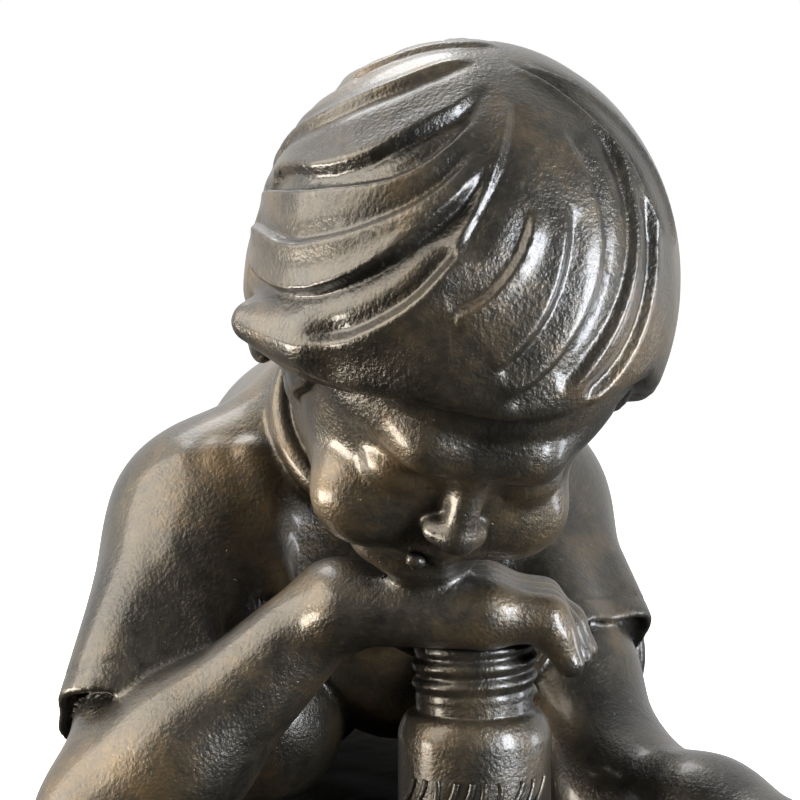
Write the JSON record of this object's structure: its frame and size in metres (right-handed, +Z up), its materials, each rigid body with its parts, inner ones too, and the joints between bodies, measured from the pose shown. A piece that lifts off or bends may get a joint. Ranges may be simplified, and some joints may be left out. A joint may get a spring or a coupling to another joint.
{
  "type": "bronze boy statue",
  "caption": "Cast bronze statue of a kneeling boy bent over an open jar, chin on the hand that covers its mouth, on a low plate of ground.",
  "frame": {"origin": "centre of the ground plate's bounding box at its underside", "axes": "+Z up, the boy faces -Y, his right arm is on the -X side"},
  "size_m": [0.552, 0.8791, 0.4417],
  "materials": {
    "bronze": "dark brown patina, waxed, fine pebbled cast skin",
    "jar_bronze": "dark brown patina, waxed, fine pebbled cast skin",
    "base_bronze": "dark patina, satin, rough cast ground"
  },
  "bodies": {
    "root": {"boy": "bronze", "jar": "jar_bronze", "ground_base": "base_bronze"}
  },
  "joints": []
}
